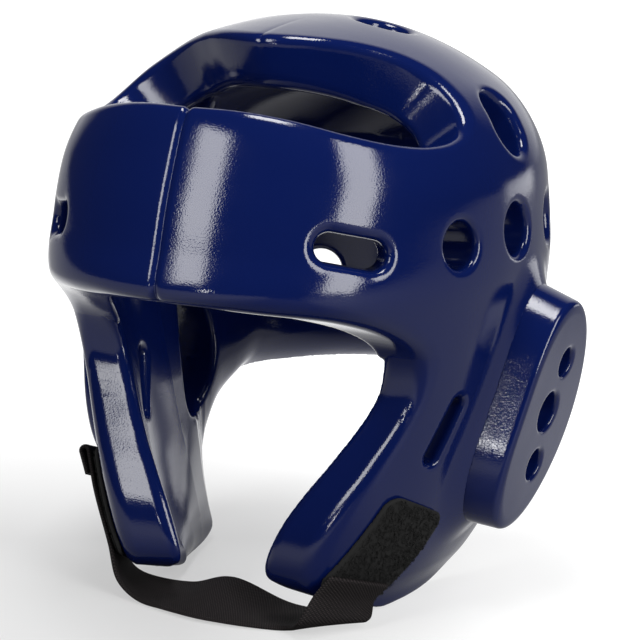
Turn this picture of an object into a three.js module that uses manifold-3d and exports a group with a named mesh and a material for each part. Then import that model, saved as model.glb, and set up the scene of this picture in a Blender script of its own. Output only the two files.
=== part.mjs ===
// Open-face head guard for martial arts: a dipped foam shell with two bonded ear pads
// and a chin strap that closes on hook-and-loop patches on the cheeks.
// Millimetres, +Z up. The face looks along -Y, the wearer's left is +X, and the guard
// stands on its flattened cheek edges on the plane z = 0. The shapes are laid out from the
// ear line, at y = 0, and the whole guard is then moved so that the origin is under its middle.
import * as THREE from "three";
import { mergeVertices } from "three/addons/utils/BufferGeometryUtils.js";
import loadManifold from "manifold-3d";

const wasm = await loadManifold();
wasm.setup();

// The ear line lies this far behind the middle of the guard's length.
const EAR_LINE_Y = 6.7;
// Foam wall: its thickness at the brow, the sides and the nape, and the heights and depths between
// which it changes.
const WALL = {
  brow: 26, side: 22, nape: 14, thickerFrom: 100, thickerTo: 140, frontReach: 110, backReach: 95,
};
// Horizontal sections of the outside: height, half width, and reach forward and back of the ear line.
const SECTIONS = [
  { z: -12, half: 55, front: 96, back: 76 },
  { z: 5, half: 62, front: 96, back: 84 },
  { z: 17, half: 71, front: 96, back: 92 },
  { z: 31, half: 79, front: 96, back: 98 },
  { z: 48, half: 85, front: 96, back: 102 },
  { z: 62, half: 88.5, front: 96, back: 105 },
  { z: 93, half: 95, front: 98, back: 108 },
  { z: 120, half: 100, front: 109, back: 110 },
  { z: 135, half: 102, front: 118, back: 110 },
  { z: 150, half: 103.5, front: 124, back: 110 },
  { z: 170, half: 102.5, front: 119, back: 110 },
  { z: 191, half: 100, front: 112.5, back: 109 },
  { z: 218, half: 93, front: 101.5, back: 104 },
  { z: 240, half: 85, front: 92, back: 98 },
  { z: 270, half: 72, front: 78, back: 88 },
];
const PLAN_POWER = { front: 2.15, back: 2.3 };
// Crown: a shallow cap over the sections, blended into them along a soft shoulder.
const CROWN = {
  top: 251, y: 5, halfWidth: 103, front: 160, back: 115, drop: 49, power: 2.2, shoulder: 14,
};
// Open face seen from the side, from the brow edge down the cheek front to the cheek tip.
const FACE_EDGE = [
  { y: -160, z: 148 },
  { y: -124, z: 148 },
  { y: -108, z: 145 },
  { y: -88, z: 140 },
  { y: -69, z: 132 },
  { y: -55, z: 121.5 },
  { y: -49, z: 108 },
  { y: -50, z: 94 },
  { y: -61, z: 73 },
  { y: -69.5, z: 58 },
  { y: -76, z: 42 },
  { y: -78, z: 28 },
  { y: -76, z: 20 },
  { y: -69, z: 13.5 },
  { y: -58, z: 9 },
  { y: -47, z: 4 },
  { y: -36, z: -3 },
];
// Gap between the cheeks seen from the front: half width at each height.
const CHIN_GAP = [
  { z: -40, half: 19 },
  { z: 10, half: 19.5 },
  { z: 26, half: 21 },
  { z: 43, half: 28 },
  { z: 55, half: 35 },
  { z: 70, half: 45 },
  { z: 86, half: 55 },
  { z: 100, half: 62 },
  { z: 116, half: 66 },
];
const CHIN_GAP_BACK = -38;
// Lower rim seen from the side, RIM_HALF out from the middle. It rises by so much more at the middle.
const RIM = [
  { y: -140, z: -9, rise: 14 },
  { y: -60, z: -8.5, rise: 14 },
  { y: -30, z: -7.5, rise: 14 },
  { y: -4, z: -6.5, rise: 14 },
  { y: 15, z: -2.5, rise: 14 },
  { y: 20, z: 6, rise: 14 },
  { y: 24, z: 18, rise: 13 },
  { y: 28, z: 31, rise: 12 },
  { y: 34, z: 44, rise: 11 },
  { y: 42, z: 55, rise: 9 },
  { y: 52, z: 64, rise: 7 },
  { y: 64, z: 70, rise: 5 },
  { y: 76, z: 70.5, rise: 5 },
  { y: 90, z: 69.5, rise: 5 },
  { y: 140, z: 68, rise: 5 },
];
const RIM_HALF = 66;
// Opening between the brow and the crown: a cone from a point inside the head. Its left half's edge is
// given at the cone's height above that point, from the middle of the brow to the middle of the crown.
const TOP_OPENING = { y: -25, z: 150, height: 90, from: 0.45, to: 1.4 };
const TOP_EDGE = [
  { x: 0, y: -82 },
  { x: 28, y: -79 },
  { x: 58, y: -73 },
  { x: 84, y: -65 },
  { x: 107, y: -52 },
  { x: 124, y: -35 },
  { x: 132, y: -16 },
  { x: 131, y: 0 },
  { x: 123, y: 10.5 },
  { x: 109, y: 17 },
  { x: 91, y: 19.5 },
  { x: 73, y: 19 },
  { x: 55, y: 13.5 },
  { x: 39, y: 4.5 },
  { x: 24, y: -5 },
  { x: 11, y: -11 },
  { x: 0, y: -13 },
];
// Vents of the left side, from the temple slot and the three side holes to the two in the crown, the one
// over the nape and the cheek slit. The right side mirrors them. out is a vent's axis and along the way
// its run goes.
const VENTS = [
  { at: [72, -87, 170.5], out: [0.64, -0.76, 0.15], along: [0.76, 0.64, -0.22], run: 18, bore: 12.5 },
  { at: [97, -39, 167], out: [1, -0.2, 0.1], along: [0, 1, 0], run: 0, bore: 20 },
  { at: [102.5, 4, 167], out: [1, 0, 0.1], along: [0, 1, 0], run: 0, bore: 22 },
  { at: [96, 48, 164], out: [0.9, 0.45, 0.1], along: [0, 1, 0], run: 0, bore: 22 },
  { at: [85, 17, 208], out: [0.8, 0.1, 0.6], along: [-0.6, 0.2, 0.7], run: 8, bore: 22 },
  { at: [25, 26, 248], out: [0.15, 0.1, 1], along: [1, 0, 0], run: 0, bore: 24 },
  { at: [46, 96, 117], out: [0.42, 0.9, 0], along: [0, 0, 1], run: 0, bore: 20 },
  { at: [88.5, -34, 85], out: [1, -0.35, 0], along: [0, 0.48, 0.87], run: 24, bore: 7 },
];
// How far a vent's cut runs each way from its point on the outside.
const VENT_REACH = 48;
// Ear pad: a half moon with a straight front edge, from its top to its bottom point. Its face leans
// in towards the jaw, and its side wall, square to the face, spreads by the draft down to the skirt's depth.
const PAD = {
  topY: 6, topZ: 148, bottomY: -27, bottomZ: 32, depth: 57, corner: 45,
  faceX: 126.3, lean: 0.217, draft: 0.08, skirt: 30, bevel: 2.5, baseX: 50,
};
// Hollow for the ear, from inside the head through the shell into the pad.
const EAR_HOLLOW = {
  topY: 19, topZ: 122, bottomY: 8, bottomZ: 58, depth: 25, corner: 12, roof: 11, insideX: 40,
};
// Sound holes through the pad's face, and how far their cut runs each way from it.
const PAD_HOLE_REACH = 40;
const PAD_HOLES = [
  { y: 24, z: 106, bore: 12 },
  { y: 16, z: 85, bore: 17 },
  { y: 14, z: 61, bore: 13 },
];
// Pieces that touch keep this gap.
const GAP = 0.3;
// Hook-and-loop patch on each cheek: its two end points on the outside, and its size.
const PATCH = { lowY: -61, lowZ: 13, highY: -41, highZ: 53, width: 35, thickness: 1.8, corner: 6 };

const STRAP = { thickness: 2.2, steps: 3 };
// Strap route from the left patch to the right one: its front and rear edges at each station.
// A station with lift lies on the cheek on that side, that far off the foam, and its x is worked out.
const STRAP_ROUTE = [
  { side: 1, lift: 4.6, frontY: -71, frontZ: 29, rearY: -41, rearZ: 18.5 },
  { side: 1, lift: 4.6, frontY: -75, frontZ: 20, rearY: -44, rearZ: 11 },
  { frontX: 46, frontY: -86, frontZ: 8, rearX: 65, rearY: -58, rearZ: 4.5 },
  { frontX: 36, frontY: -80, frontZ: 1.8, rearX: 48, rearY: -51, rearZ: 1.8 },
  { frontX: 20, frontY: -84.5, frontZ: 1.7, rearX: 23, rearY: -50.5, rearZ: 1.8 },
  { frontX: -2, frontY: -87, frontZ: 1.7, rearX: -5, rearY: -53, rearZ: 10 },
  { frontX: -24, frontY: -83.5, frontZ: 1.7, rearX: -28, rearY: -50.5, rearZ: 3 },
  { frontX: -40, frontY: -79, frontZ: 2, rearX: -53, rearY: -48.5, rearZ: 2 },
  { frontX: -52, frontY: -75, frontZ: 8, rearX: -66, rearY: -44, rearZ: 5 },
  { side: -1, lift: 4.8, frontY: -72, frontZ: 22, rearY: -41, rearZ: 14 },
  { side: -1, lift: 4.8, frontY: -62, frontZ: 42, rearY: -32, rearZ: 31 },
  { side: -1, lift: 5.5, frontY: -54, frontZ: 58, rearY: -24, rearZ: 47 },
];

// Mesh fineness: points around and rings up the body, points around an outline and along a curve,
// strips across the strap, and squares across and along the rim's block.
const FINE = { around: 52, rings: 28, outline: 30, curve: 5, across: 4, rimAcross: 10, rimAlong: 26 };
// Point inside the head from which the body's surface is found, and the farthest it can be.
const CORE = { z: 112, nearest: 5, farthest: 320 };
// Cutting blocks reach this far past the guard on every side, and the uncut body ends this low.
const BLOCK = 200;
const BASE_Z = -30;
// The head hollow ends lower than the body, so that its cut leaves no skin there.
const HOLLOW_BASE_Z = -36;
// Points closer than this are one point.
const WELD = 1e-4;
// Part of a half moon's depth at which the middle point lies that its outline is found from.
const MOON_MIDDLE = 0.4;

const FINISH = {
  vinyl: { color: 0x101f58, roughness: 0.25, metalness: 0 },
  elastic: { color: 0x262425, roughness: 0.85, metalness: 0 },
  loopPile: { color: 0x161519, roughness: 0.95, metalness: 0 },
};

const V = (x, y, z) => new THREE.Vector3(x, y, z);
const clamp01 = (value) => Math.min(Math.max(value, 0), 1);

// Curve through one column of a table, with straight ends.
function columnCurve(rows, key, column) {
  const at = rows.map((row) => row[key]);
  const value = rows.map((row) => row[column]);
  const last = at.length - 1;
  const slope = at.map((_, i) => {
    const a = Math.max(i - 1, 0);
    const b = Math.min(i + 1, last);
    return (value[b] - value[a]) / (at[b] - at[a]);
  });
  return (t) => {
    if (t <= at[0]) return value[0] + slope[0] * (t - at[0]);
    if (t >= at[last]) return value[last] + slope[last] * (t - at[last]);
    const i = at.findIndex((next, k) => k > 0 && t <= next) - 1;
    const run = at[i + 1] - at[i];
    const u = (t - at[i]) / run;
    const w = u * u * (3 - 2 * u);
    const bend = u * (1 - u) * ((1 - u) * slope[i] - u * slope[i + 1]) * run;
    return value[i] * (1 - w) + value[i + 1] * w + bend;
  };
}

function smoothMax(a, b, blend) {
  const h = clamp01(0.5 + (0.5 * (a - b)) / blend);
  return b * (1 - h) + a * h + blend * h * (1 - h);
}

const halfWidth = columnCurve(SECTIONS, "z", "half");
const frontReach = columnCurve(SECTIONS, "z", "front");
const backReach = columnCurve(SECTIONS, "z", "back");
const rimHeight = columnCurve(RIM, "y", "z");
const rimRise = columnCurve(RIM, "y", "rise");

// Distance outside the guard's outer surface, about true near the surface.
function outside(x, y, z) {
  const power = y < 0 ? PLAN_POWER.front : PLAN_POWER.back;
  const reach = y < 0 ? frontReach(z) : backReach(z);
  const u = ((Math.abs(x) / halfWidth(z)) ** power + (Math.abs(y) / reach) ** power) ** (1 / power);
  const band = Math.hypot(x, y) * (1 - 1 / Math.max(u, 1e-6));
  const cy = y - CROWN.y;
  const e = Math.hypot(x / CROWN.halfWidth, cy / (cy < 0 ? CROWN.front : CROWN.back));
  const fall = (CROWN.drop * CROWN.power * e ** (CROWN.power - 1)) / CROWN.halfWidth;
  const cap = (z - CROWN.top + CROWN.drop * e ** CROWN.power) / Math.hypot(1, fall);
  return smoothMax(band, cap, CROWN.shoulder);
}

function wallThickness(y, z) {
  const high = clamp01((z - WALL.thickerFrom) / (WALL.thickerTo - WALL.thickerFrom));
  if (y < 0) return WALL.side + (WALL.brow - WALL.side) * clamp01(-y / WALL.frontReach) * high;
  return WALL.side + (WALL.nape - WALL.side) * clamp01(y / WALL.backReach);
}

// Where a function of one value turns from negative to positive, found by halving.
function crossing(f, low, high) {
  const halvings = 40;
  for (let k = 0; k < halvings; k++) {
    const middle = (low + high) / 2;
    if (f(middle) < 0) low = middle;
    else high = middle;
  }
  return (low + high) / 2;
}

// Outer surface at a depth and a height, on the side given by its sign, lifted off by some millimetres.
const surfaceX = (side, y, z, lift) => side * crossing((x) => outside(x, y, z) - lift, 0, BLOCK);

function solidOf(geometry) {
  const bare = geometry.index ? geometry.toNonIndexed() : geometry.clone();
  bare.deleteAttribute("normal");
  bare.deleteAttribute("uv");
  const merged = mergeVertices(bare, WELD);
  const mesh = new wasm.Mesh({
    numProp: 3,
    vertProperties: merged.attributes.position.array,
    triVerts: new Uint32Array(merged.index.array),
  });
  return new wasm.Manifold(mesh);
}

// Closed body through rings of the same number of points, wound so that its faces point out.
function loftGeometry(rings) {
  const count = rings[0].length;
  const middle = (ring) => ring.reduce((sum, p) => sum.add(p), V(0, 0, 0)).divideScalar(ring.length);
  const points = [...rings.flat(), middle(rings[0]), middle(rings.at(-1))];
  const index = [];
  for (let r = 0; r + 1 < rings.length; r++) {
    for (let k = 0; k < count; k++) {
      const a = r * count + k;
      const b = r * count + ((k + 1) % count);
      index.push(a, b, b + count, a, b + count, a + count);
    }
  }
  const first = rings.length * count;
  const end = first - count;
  for (let k = 0; k < count; k++) {
    const next = (k + 1) % count;
    index.push(first, next, k, first + 1, end + k, end + next);
  }
  const geometry = new THREE.BufferGeometry().setFromPoints(points);
  geometry.setIndex(index);
  return geometry;
}

// Body whose surface is where the field is zero, seen from a point inside it.
function bodyFrom(field) {
  const rings = [];
  for (let r = 1; r < FINE.rings; r++) {
    const polar = Math.PI * (1 - r / FINE.rings);
    const ring = [];
    for (let k = 0; k < FINE.around; k++) {
      const turn = (2 * Math.PI * k) / FINE.around;
      const way = new THREE.Vector3().setFromSphericalCoords(1, polar, turn);
      const [x, y, z] = [way.z, way.x, way.y];
      const along = (t) => field(x * t, y * t, CORE.z + z * t);
      const far = crossing(along, CORE.nearest, CORE.farthest);
      ring.push(V(x * far, y * far, CORE.z + z * far));
    }
    rings.push(ring);
  }
  return solidOf(loftGeometry(rings));
}

const outsideBody = (lift) => bodyFrom((x, y, z) => Math.max(outside(x, y, z) - lift, BASE_Z - z));

const headHollow = () => {
  return bodyFrom((x, y, z) => Math.max(outside(x, y, z) + wallThickness(y, z), HOLLOW_BASE_Z - z));
};

// Shape extruded both ways along an axis, with the shape's own x along the given direction.
function prism(shape, at, out, along, reach, back = reach) {
  const geometry = new THREE.ExtrudeGeometry(shape, {
    depth: reach + back, bevelEnabled: false, curveSegments: FINE.curve,
  });
  geometry.translate(0, 0, -back);
  const axis = out.clone().normalize();
  const first = along.clone().addScaledVector(axis, -along.dot(axis)).normalize();
  const second = axis.clone().cross(first);
  const place = new THREE.Matrix4().makeBasis(first, second, axis).setPosition(at);
  return solidOf(geometry.applyMatrix4(place));
}

function faceCutter() {
  const edge = FACE_EDGE.map((p) => new THREE.Vector2(p.y, p.z));
  const shape = new THREE.Shape();
  shape.moveTo(edge[0].x, edge[0].y);
  shape.splineThru(edge.slice(1));
  shape.lineTo(edge.at(-1).x, -BLOCK);
  shape.lineTo(edge[0].x, -BLOCK);
  return prism(shape, V(0, 0, 0), V(1, 0, 0), V(0, 1, 0), BLOCK);
}

function chinCutter() {
  const right = CHIN_GAP.map((row) => new THREE.Vector2(row.half, row.z));
  const left = CHIN_GAP.map((row) => new THREE.Vector2(-row.half, row.z)).reverse();
  const shape = new THREE.Shape([...right, ...left]);
  return prism(shape, V(0, CHIN_GAP_BACK, 0), V(0, -1, 0), V(1, 0, 0), BLOCK, 0);
}

// Block below the lower rim, with the rim's side outline and arch as its top.
function rimCutter() {
  const length = RIM.at(-1).y - RIM[0].y;
  const geometry = new THREE.BoxGeometry(length, length, BLOCK, FINE.rimAcross, FINE.rimAlong);
  geometry.translate(0, 0, -BLOCK);
  const place = geometry.attributes.position;
  for (let i = 0; i < place.count; i++) {
    if (place.getZ(i) < -BLOCK) continue;
    const y = place.getY(i);
    const arch = Math.max(1 - (place.getX(i) / RIM_HALF) ** 2, -1);
    place.setZ(i, rimHeight(y) + rimRise(y) * arch);
  }
  return solidOf(geometry);
}

function floorCutter() {
  const geometry = new THREE.BoxGeometry(2 * BLOCK, 2 * BLOCK, BLOCK);
  return solidOf(geometry.translate(0, 0, -BLOCK / 2));
}

function topCutter() {
  const right = TOP_EDGE.slice(1, -1).reverse().map((p) => V(-p.x, p.y, 0));
  const edge = [...TOP_EDGE.map((p) => V(p.x, p.y, 0)), ...right];
  const curve = new THREE.CatmullRomCurve3(edge, true, "centripetal");
  const outline = curve.getPoints(2 * FINE.outline).slice(1);
  const apex = V(0, TOP_OPENING.y, TOP_OPENING.z);
  const lift = V(0, 0, TOP_OPENING.height);
  const rings = [TOP_OPENING.from, TOP_OPENING.to].map((share) => {
    return outline.map((p) => p.clone().add(lift).multiplyScalar(share).add(apex));
  });
  return solidOf(loftGeometry(rings));
}

function ventCutters() {
  const cutters = [];
  for (const vent of VENTS) {
    const shape = new THREE.Shape();
    const radius = vent.bore / 2;
    const end = vent.run / 2;
    shape.absarc(end, 0, radius, -Math.PI / 2, Math.PI / 2);
    shape.absarc(-end, 0, radius, Math.PI / 2, (3 * Math.PI) / 2);
    for (const side of [1, -1]) {
      const [at, out, along] = [vent.at, vent.out, vent.along].map(([x, y, z]) => V(side * x, y, z));
      cutters.push(prism(shape, at, out, along, VENT_REACH));
    }
  }
  return cutters;
}

// Half moon in the side plane, grown by some millimetres. Its points are found from a middle
// point behind its straight front edge.
function moonOutline(moon, grow) {
  const edge = V(0, moon.topY - moon.bottomY, moon.topZ - moon.bottomZ);
  const halfLength = edge.length() / 2 + grow;
  const [upY, upZ] = [edge.y / edge.length(), edge.z / edge.length()];
  const middle = moon.depth * MOON_MIDDLE;
  const depth = moon.depth + grow;
  const field = (a, b) => {
    const round = (Math.hypot(a / depth, b / halfLength) - 1) * Math.min(depth, halfLength);
    return smoothMax(round, -a - grow, moon.corner);
  };
  const points = [];
  for (let k = 0; k < FINE.outline; k++) {
    const turn = (2 * Math.PI * k) / FINE.outline;
    const [ca, sa] = [Math.cos(turn), Math.sin(turn)];
    const far = crossing((t) => field(middle + ca * t, sa * t), 0, BLOCK);
    const [a, b] = [middle + ca * far, sa * far];
    points.push({
      y: (moon.topY + moon.bottomY) / 2 + a * upZ + b * upY,
      z: (moon.topZ + moon.bottomZ) / 2 - a * upY + b * upZ,
    });
  }
  return points;
}

const padFace = (z) => PAD.faceX - PAD.lean * (PAD.topZ - z);

// Ring of the pad's side wall at a depth below its face, for the side given by its sign.
function padRing(side, depth, grow) {
  const ring = moonOutline(PAD, grow).map((p) => {
    return V(side * (padFace(p.z) - depth), p.y, p.z + PAD.lean * depth);
  });
  return side > 0 ? ring : ring.reverse();
}

function earHollow(side) {
  const outline = moonOutline(EAR_HOLLOW, 0);
  const inner = outline.map((p) => V(side * EAR_HOLLOW.insideX, p.y, p.z));
  const roof = outline.map((p) => V(side * (padFace(p.z) - EAR_HOLLOW.roof), p.y, p.z));
  const rings = [inner, roof];
  return solidOf(loftGeometry(side > 0 ? rings : rings.map((ring) => ring.reverse())));
}

function padHoles(side) {
  return PAD_HOLES.map((hole) => {
    const shape = new THREE.Shape().absarc(0, 0, hole.bore / 2, 0, 2 * Math.PI);
    const at = V(side * PAD.faceX, hole.y, hole.z);
    return prism(shape, at, V(side, 0, 0), V(0, 1, 0), PAD_HOLE_REACH);
  });
}

function earPad(side) {
  const rings = [
    padRing(side, PAD.faceX - PAD.baseX, PAD.draft * PAD.skirt),
    padRing(side, PAD.skirt, PAD.draft * PAD.skirt),
    padRing(side, PAD.bevel, PAD.draft * PAD.bevel),
    padRing(side, 0, -PAD.bevel),
  ];
  let pad = solidOf(loftGeometry(rings)).subtract(outsideBody(GAP)).subtract(earHollow(side));
  for (const hole of padHoles(side)) pad = pad.subtract(hole);
  return pad;
}

function shell() {
  const cutters = [
    headHollow(), faceCutter(), chinCutter(), rimCutter(), floorCutter(), topCutter(),
    ...ventCutters(), earHollow(1), earHollow(-1),
  ];
  return cutters.reduce((body, cutter) => body.subtract(cutter), outsideBody(0));
}

function loopPatch(side) {
  const { lowY, lowZ, highY, highZ, width, corner, thickness } = PATCH;
  const length = Math.hypot(highY - lowY, highZ - lowZ);
  const [l, w, r] = [length / 2, width / 2, corner];
  const shape = new THREE.Shape();
  shape.absarc(l - r, w - r, r, 0, Math.PI / 2);
  shape.absarc(r - l, w - r, r, Math.PI / 2, Math.PI);
  shape.absarc(r - l, r - w, r, Math.PI, 1.5 * Math.PI);
  shape.absarc(l - r, r - w, r, 1.5 * Math.PI, 2 * Math.PI);
  const at = V(0, (lowY + highY) / 2, (lowZ + highZ) / 2);
  const outline = prism(shape, at, V(side, 0, 0), V(0, highY - lowY, highZ - lowZ), BLOCK, 0);
  return outline.intersect(outsideBody(GAP + thickness)).subtract(outsideBody(GAP));
}

// Strap stations as the edge and middle points of the band's centre sheet.
function strapStations() {
  return STRAP_ROUTE.map((row) => {
    const point = (share) => {
      const y = row.frontY + (row.rearY - row.frontY) * share;
      const z = row.frontZ + (row.rearZ - row.frontZ) * share;
      if (row.lift) return V(surfaceX(row.side, y, z, row.lift), y, z);
      return V(row.frontX + (row.rearX - row.frontX) * share, y, z);
    };
    return Array.from({ length: FINE.across + 1 }, (_, k) => point(k / FINE.across));
  });
}

function chinStrap() {
  const stations = strapStations();
  const lines = stations[0].map((_, k) => {
    const points = stations.map((row) => row[k]);
    return new THREE.CatmullRomCurve3(points, false, "centripetal");
  });
  const count = (stations.length - 1) * STRAP.steps;
  const sheet = [];
  for (let s = 0; s <= count; s++) sheet.push(lines.map((line) => line.getPoint(s / count)));
  const rings = sheet.map((row, s) => {
    const before = sheet[Math.max(s - 1, 0)];
    const after = sheet[Math.min(s + 1, count)];
    const off = row.map((_, k) => {
      const forward = after[k].clone().sub(before[k]);
      const across = row[Math.min(k + 1, FINE.across)].clone().sub(row[Math.max(k - 1, 0)]);
      return across.cross(forward).normalize().multiplyScalar(STRAP.thickness / 2);
    });
    const upper = row.map((p, k) => p.clone().add(off[k]));
    const lower = row.map((p, k) => p.clone().sub(off[k])).reverse();
    return [...upper, ...lower];
  });
  return solidOf(loftGeometry(rings));
}

function meshOf(name, solid, finish) {
  const made = solid.getMesh();
  const points = new Float32Array(made.vertProperties);
  const geometry = new THREE.BufferGeometry();
  geometry.setAttribute("position", new THREE.BufferAttribute(points, 3));
  geometry.setIndex(new THREE.BufferAttribute(new Uint32Array(made.triVerts), 1));
  geometry.computeVertexNormals();
  const mesh = new THREE.Mesh(geometry, new THREE.MeshStandardMaterial(finish));
  mesh.name = name;
  return mesh;
}

const headGuard = new THREE.Group();
headGuard.position.y = EAR_LINE_Y;
headGuard.add(meshOf("shell", shell(), FINISH.vinyl));
for (const [word, side] of [["left", 1], ["right", -1]]) {
  headGuard.add(meshOf(`ear_pad_${word}`, earPad(side), FINISH.vinyl));
  headGuard.add(meshOf(`loop_patch_${word}`, loopPatch(side), FINISH.loopPile));
}
headGuard.add(meshOf("chin_strap", chinStrap(), FINISH.elastic));

export default headGuard;
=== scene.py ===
"""Looks of a martial arts head guard: dipped vinyl foam, woven elastic strap and loop pile patches."""
import math

import bpy
import numpy as np
from bpy.props import FloatProperty, FloatVectorProperty, IntProperty, PointerProperty
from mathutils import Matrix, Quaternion, Vector


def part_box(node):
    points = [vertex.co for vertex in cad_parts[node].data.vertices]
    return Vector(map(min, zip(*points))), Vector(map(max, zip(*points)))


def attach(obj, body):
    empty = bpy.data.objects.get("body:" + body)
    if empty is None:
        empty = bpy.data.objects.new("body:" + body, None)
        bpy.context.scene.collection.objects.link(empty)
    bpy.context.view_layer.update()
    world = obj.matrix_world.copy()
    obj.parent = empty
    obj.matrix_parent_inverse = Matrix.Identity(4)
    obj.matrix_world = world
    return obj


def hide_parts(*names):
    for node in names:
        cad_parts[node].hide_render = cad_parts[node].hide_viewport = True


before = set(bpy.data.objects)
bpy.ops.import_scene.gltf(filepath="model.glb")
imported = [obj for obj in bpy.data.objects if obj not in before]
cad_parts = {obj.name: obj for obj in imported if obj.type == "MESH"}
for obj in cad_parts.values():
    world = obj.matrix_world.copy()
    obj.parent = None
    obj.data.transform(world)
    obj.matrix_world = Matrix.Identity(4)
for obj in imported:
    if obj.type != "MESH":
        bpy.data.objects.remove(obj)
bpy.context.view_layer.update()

bl_info = {
    "name": "Head Guard Looks",
    "version": (1, 0, 0),
    "blender": (4, 5, 0),
    "location": "View3D > Sidebar > Head Guard",
    "description": "Builds the skin, pads, patches and strap of a martial arts head guard",
    "category": "Add Mesh",
}

MM = 0.001
BODY = "root"
SIDES = {"left": 1, "right": -1}
# Shapes are worked out in millimetres from the ear line, which lies this far behind the frame's origin.
EAR_LINE_Y = 6.7

# Horizontal sections of the outside: height, half width, and reach forward and back of the ear line.
SECTIONS = {
    "z": (-12, 5, 17, 31, 48, 62, 93, 120, 135, 150, 170, 191, 218, 240, 270),
    "half": (55, 62, 71, 79, 85, 88.5, 95, 100, 102, 103.5, 102.5, 100, 93, 85, 72),
    "front": (96, 96, 96, 96, 96, 96, 98, 109, 118, 124, 119, 112.5, 101.5, 92, 78),
    "back": (76, 84, 92, 98, 102, 105, 108, 110, 110, 110, 110, 109, 104, 98, 88),
}
PLAN_POWER = {"front": 2.15, "back": 2.3}
CROWN = {
    "top": 251, "y": 5, "half": 103, "front": 160, "back": 115, "drop": 49, "power": 2.2, "shoulder": 14,
}
# Foam wall at the brow, the sides and the nape, and where it changes from one to the next.
WALL = {"brow": 26, "side": 22, "nape": 14, "from_z": 100, "to_z": 140, "front": 110, "back": 95}
# Open face seen from the side, from the brow's edge down the front of the cheek to its tip.
FACE_EDGE = {
    "y": (-160, -124, -108, -88, -69, -55, -49, -50, -61, -69.5, -76, -78, -76, -69, -58, -47, -36),
    "z": (148, 148, 145, 140, 132, 121.5, 108, 94, 73, 58, 42, 28, 20, 13.5, 9, 4, -3),
}
# Gap between the cheeks seen from the front, and the y at which it ends.
CHIN_GAP = {
    "z": (-40, 10, 26, 43, 55, 70, 86, 100, 116),
    "half": (19, 19.5, 21, 28, 35, 45, 55, 62, 66),
}
CHIN_GAP_BACK = -38
# Lower rim seen from the side, RIM_HALF out from the middle. It rises by so much more at the middle.
RIM = {
    "y": (-140, -60, -30, -4, 15, 20, 24, 28, 34, 42, 52, 64, 76, 90, 140),
    "z": (-9, -8.5, -7.5, -6.5, -2.5, 6, 18, 31, 44, 55, 64, 70, 70.5, 69.5, 68),
    "rise": (14, 14, 14, 14, 14, 14, 13, 12, 11, 9, 7, 5, 5, 5, 5),
}
RIM_HALF = 66
# The same rim along the inside of the wall, where the dipped edge is cut back towards the cheek's tip.
INNER_RIM = {
    "y": (-60, -40, -24, -14, 5, 17, 27, 35, 43, 55, 66, 100),
    "z": (-8, -3, 5, 10, 23, 33.5, 45, 52.5, 60.5, 68, 75, 75),
}
# Opening between the brow and the crown: a cone from a point inside the head. Its left half's edge is
# given at the cone's height above that point, from the middle of the brow to the middle of the crown.
TOP_OPENING = {"y": -25, "z": 150, "height": 90, "from": 0.45}
TOP_EDGE = {
    "x": (0, 28, 58, 84, 107, 124, 132, 131, 123, 109, 91, 73, 55, 39, 24, 11, 0),
    "y": (-82, -79, -73, -65, -52, -35, -16, 0, 10.5, 17, 19.5, 19, 13.5, 4.5, -5, -11, -13),
}
# Vents of one side. out runs along the bore and along down the slot, whose straight part is as long as run.
# funnel is how softly the skin rolls into the hole. A bore reaches so far to both sides of its place.
VENT_COLUMNS = ("at", "out", "along", "run", "bore", "funnel")
VENT_ROWS = {
    "temple_slot": ((72, -87, 170.5), (0.64, -0.76, 0.15), (0.76, 0.64, -0.22), 18, 12.5, 6),
    "side_front": ((97, -39, 167), (1, -0.2, 0.1), (0, 1, 0), 0, 20, 4),
    "side_middle": ((102.5, 4, 167), (1, 0, 0.1), (0, 1, 0), 0, 22, 4),
    "side_rear": ((96, 48, 164), (0.9, 0.45, 0.1), (0, 1, 0), 0, 22, 4),
    "shoulder": ((85, 17, 208), (0.8, 0.1, 0.6), (-0.6, 0.2, 0.7), 8, 22, 5),
    "crown": ((25, 26, 248), (0.15, 0.1, 1), (1, 0, 0), 0, 24, 5),
    "nape": ((46, 96, 117), (0.42, 0.9, 0), (0, 0, 1), 0, 20, 4),
    "cheek_slit": ((88.5, -34, 85), (1, -0.35, 0), (0, 0.48, 0.87), 24, 7, 4),
}
VENTS = [dict(zip(VENT_COLUMNS, row)) for row in VENT_ROWS.values()]
VENT_REACH = 48
# Ear pad: a half moon with a straight front edge and a face that leans in towards the jaw.
PAD = {
    "top": (6, 148), "bottom": (-27, 32), "depth": 57, "corner": 45,
    "face_x": 126.3, "lean": 0.217, "draft": 0.08, "skirt": 30, "edge": 3, "base_x": 50,
}
EAR_HOLLOW = {"top": (19, 122), "bottom": (8, 58), "depth": 25, "corner": 12, "roof": 11, "inside_x": 40}
PAD_HOLES = ({"y": 24, "z": 106, "bore": 12}, {"y": 16, "z": 85, "bore": 17}, {"y": 14, "z": 61, "bore": 13})
GAP = 0.3
PATCH = {"low": (-61, 13), "high": (-41, 53), "width": 35, "thickness": 1.8, "corner": 6, "base_x": 20}
# Loops of pile: the bare edge round them, their half width and height, and the radius of the yarn.
PILE = {
    "seed": 7, "edge": 1, "reach": (0.35, 0.75), "height": (0.5, 1.0), "yarn": 0.13, "steps": 6, "sides": 3,
}
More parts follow.
